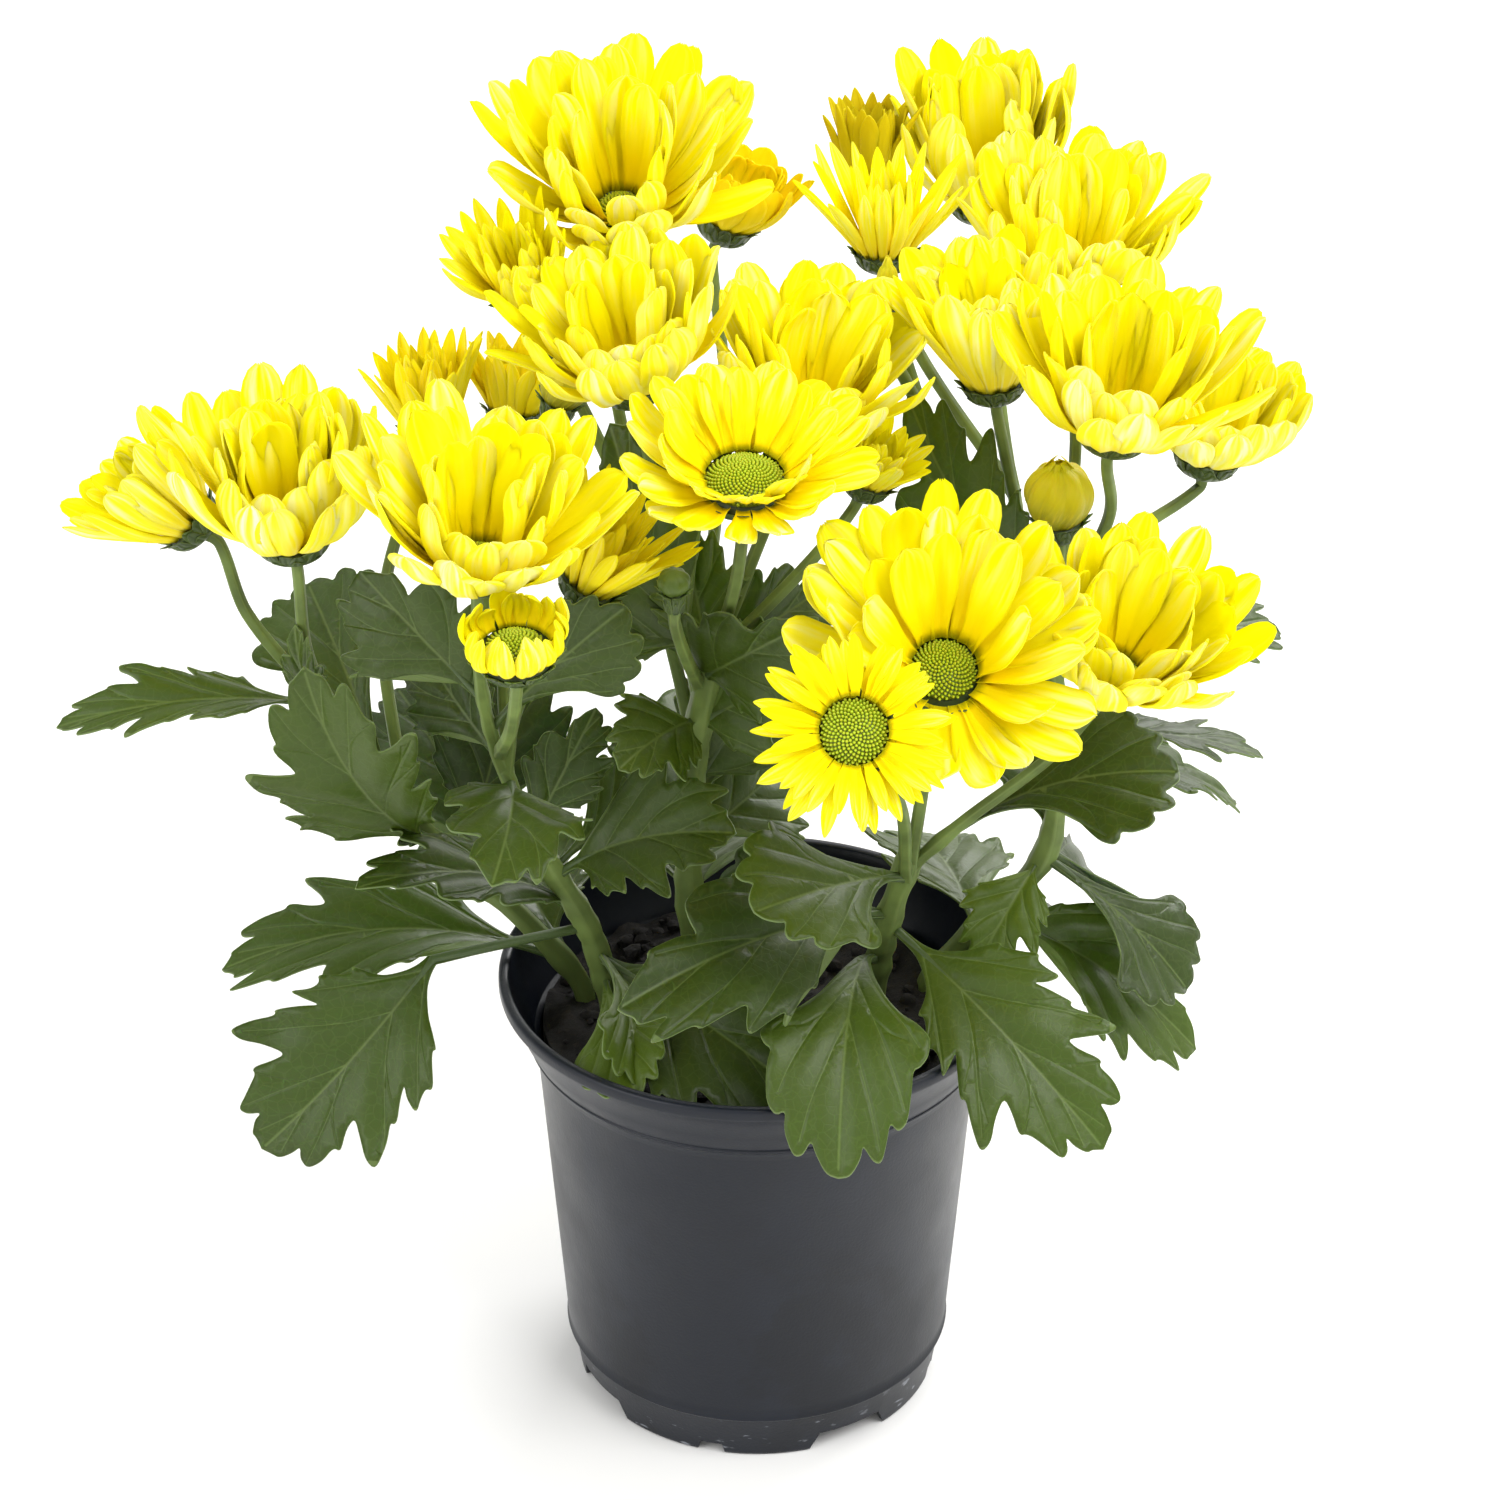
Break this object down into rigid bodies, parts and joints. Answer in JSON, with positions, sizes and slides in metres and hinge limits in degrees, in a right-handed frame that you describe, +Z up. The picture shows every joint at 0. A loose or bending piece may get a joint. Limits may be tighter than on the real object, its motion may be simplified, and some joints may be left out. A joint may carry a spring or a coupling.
{
  "type": "pot chrysanthemum",
  "caption": "Flowering pot plant: a tapered nursery pot of soil with branching leafy stems, lobed leaves, yellow ray-petalled blooms with green discs, and buds.",
  "frame": {"origin": "centre of the pot's underside, on the plane it stands on", "axes": "+Z up along the pot's axis; -Y towards the side with the lowest front blooms; +X to the right as seen from -Y"},
  "size_m": [0.3079, 0.2261, 0.3422],
  "materials": {
    "pot_plastic": "satin moulded plastic",
    "potting_soil": "crumbly, damp and dull",
    "leaf_green": "matte leaf with paler veins",
    "petal_yellow": "soft petal, slightly translucent",
    "floret_green": "dense florets"
  },
  "bodies": {
    "root": {"disc_centre_back": "floret_green", "disc_centre_front": "floret_green", "disc_centre_leaning": "floret_green", "disc_centre_left_half": "floret_green", "disc_centre_left_large": "floret_green", "disc_centre_left_opening": "floret_green", "disc_centre_small": "floret_green", "disc_far_left": "floret_green", "disc_front_daisy": "floret_green", "disc_left_back_bronze": "floret_green", "disc_left_back_narrow": "floret_green", "disc_left_large": "floret_green", "disc_right_far": "floret_green", "disc_right_front_large": "floret_green", "disc_right_large": "floret_green", "disc_right_low": "floret_green", "disc_right_upright": "floret_green", "disc_top_back_small": "floret_green", "disc_top_centre": "floret_green", "disc_top_left": "floret_green", "disc_top_left_small": "floret_green", "disc_top_right": "floret_green", "disc_top_right_back": "floret_green", "petals_centre_back": "petal_yellow", "petals_centre_front": "petal_yellow", "petals_centre_leaning": "petal_yellow", "petals_centre_left_half": "petal_yellow", "petals_centre_left_large": "petal_yellow", "petals_centre_left_opening": "petal_yellow", "petals_centre_small": "petal_yellow", "petals_centre_thin": "petal_yellow", "petals_far_left": "petal_yellow", "petals_front_daisy": "petal_yellow", "petals_left_back_bronze": "petal_yellow", "petals_left_back_narrow": "petal_yellow", "petals_left_back_opening": "petal_yellow", "petals_left_large": "petal_yellow", "petals_right_closed": "petal_yellow", "petals_right_far": "petal_yellow", "petals_right_front_large": "petal_yellow", "petals_right_large": "petal_yellow", "petals_right_low": "petal_yellow", "petals_right_upright": "petal_yellow", "petals_top_back_small": "petal_yellow", "petals_top_centre": "petal_yellow", "petals_top_cup": "petal_yellow", "petals_top_left": "petal_yellow", "petals_top_left_small": "petal_yellow", "petals_top_right": "petal_yellow", "petals_top_right_back": "petal_yellow", "pot": "pot_plastic", "soil": "potting_soil", "stem_centre": "leaf_green", "stem_centre_left": "leaf_green", "stem_left": "leaf_green", "stem_right_back": "leaf_green", "stem_right_front": "leaf_green"}
  },
  "joints": []
}
